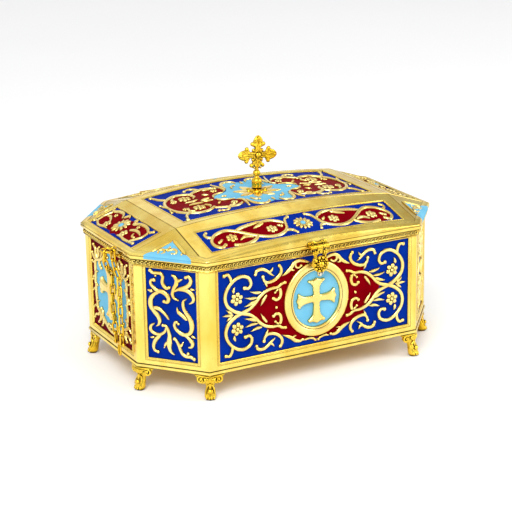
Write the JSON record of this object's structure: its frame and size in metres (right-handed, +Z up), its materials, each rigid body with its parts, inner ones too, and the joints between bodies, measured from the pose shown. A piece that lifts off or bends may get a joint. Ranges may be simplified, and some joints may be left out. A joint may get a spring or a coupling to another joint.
{
  "type": "reliquary casket",
  "caption": "Octagonal footed box with a hinged arched lid, carved and enamelled panels, a front hasp, a cross finial and a side chain, for keeping a relic or keepsakes.",
  "frame": {"origin": "centre of the whole outline, ring, chain, hasp and hinges included, on the plane that the feet stand on", "axes": "+Z up; the hasp is on the -Y side, which is the front; the ring and chain are at the -X end"},
  "size_m": [0.2808, 0.2044, 0.1731],
  "materials": {
    "casket_body": "polished gilding over brass; the panels are enamelled blue, red and light blue",
    "foot_1": "polished gilding over cast brass",
    "foot_2": "polished gilding over cast brass",
    "foot_3": "polished gilding over cast brass",
    "foot_4": "polished gilding over cast brass",
    "foot_5": "polished gilding over cast brass",
    "foot_6": "polished gilding over cast brass",
    "foot_7": "polished gilding over cast brass",
    "foot_8": "polished gilding over cast brass",
    "hinge_leaf_body_left": "polished gilding over cast brass",
    "hinge_leaf_body_right": "polished gilding over cast brass",
    "hinge_pin_left": "polished gilding over cast brass",
    "hinge_pin_right": "polished gilding over cast brass",
    "chain_eye": "polished gilding over cast brass",
    "chain_ring": "polished gilding over cast brass",
    "chain": "polished gilding over cast brass",
    "lid": "polished gilding over brass; the panels are enamelled blue, red and light blue",
    "finial_cross": "polished gilding over cast brass",
    "hinge_leaf_lid_left": "polished gilding over cast brass",
    "hinge_leaf_lid_right": "polished gilding over cast brass",
    "hasp_mount": "polished gilding over cast brass",
    "hasp_pin": "polished gilding over cast brass",
    "hasp": "polished gilding over cast brass"
  },
  "bodies": {
    "casket": {"casket_body": "casket_body", "foot_1": "foot_1", "foot_2": "foot_2", "foot_3": "foot_3", "foot_4": "foot_4", "foot_5": "foot_5", "foot_6": "foot_6", "foot_7": "foot_7", "foot_8": "foot_8", "hinge_leaf_body_left": "hinge_leaf_body_left", "hinge_leaf_body_right": "hinge_leaf_body_right", "hinge_pin_left": "hinge_pin_left", "hinge_pin_right": "hinge_pin_right", "chain_eye": "chain_eye", "chain_ring": "chain_ring", "chain": "chain"},
    "lid": {"lid": "lid", "finial_cross": "finial_cross", "hinge_leaf_lid_left": "hinge_leaf_lid_left", "hinge_leaf_lid_right": "hinge_leaf_lid_right", "hasp_mount": "hasp_mount", "hasp_pin": "hasp_pin"},
    "hasp": {"hasp": "hasp"}
  },
  "joints": [
    {"name": "lid_hinge", "type": "hinge", "parent": "casket", "child": "lid", "pos_m": [0.00722, 0.10049, 0.10565], "axis": [-1, 0, 0], "range_deg": [0, 100]},
    {"name": "hasp_hinge", "type": "hinge", "parent": "lid", "child": "hasp", "pos_m": [0.00722, -0.09771, 0.10768], "axis": [-1, 0, 0], "range_deg": [0, 120]}
  ]
}
